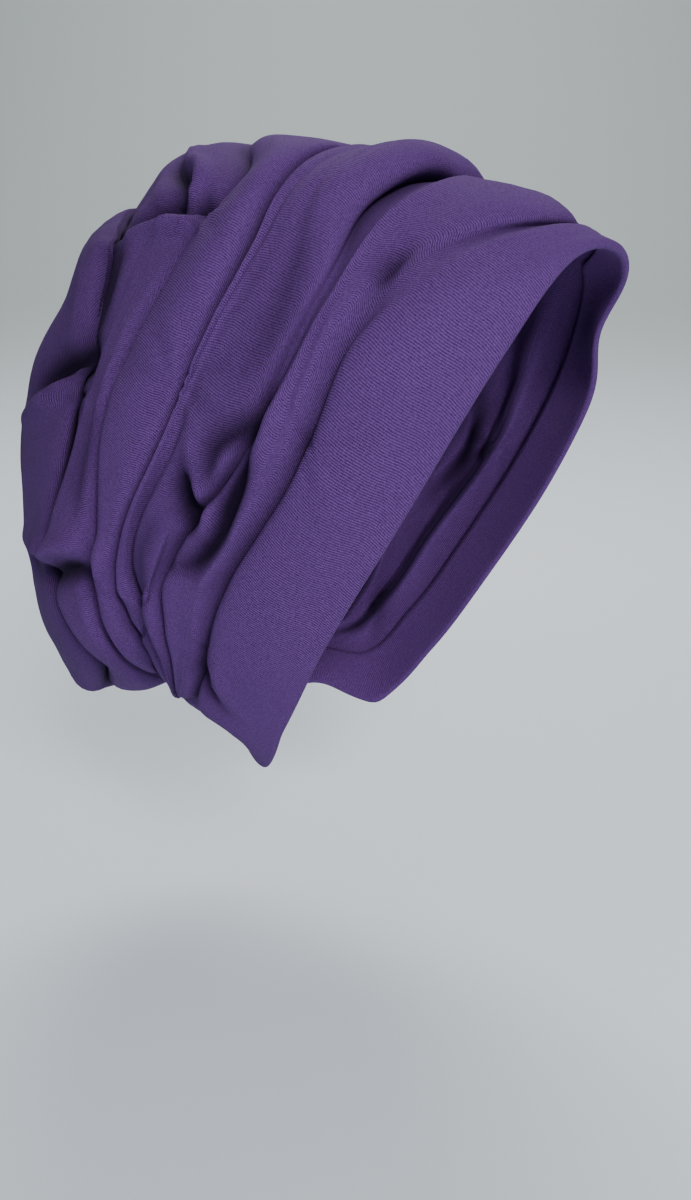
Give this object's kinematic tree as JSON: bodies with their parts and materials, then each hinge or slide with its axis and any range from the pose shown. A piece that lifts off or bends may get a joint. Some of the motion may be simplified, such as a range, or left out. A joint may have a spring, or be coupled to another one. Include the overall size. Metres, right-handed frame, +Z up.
{
  "type": "chemo cap",
  "caption": "Ruched jersey turban cap with a wide smooth face band, puffed tucked rolls over the crown and a soft hanging pouch at the back.",
  "frame": {"origin": "inside top of the crown on the middle plane, where the cap sits on the top of the head", "axes": "+Z up, -Y the way the wearer faces, -X the wearer's right side"},
  "size_m": [0.1892, 0.2709, 0.265],
  "materials": {
    "jersey": "matte purple cotton jersey knit, fine wales"
  },
  "bodies": {
    "root": {"crown": "jersey", "back_panel": "jersey"}
  },
  "joints": []
}
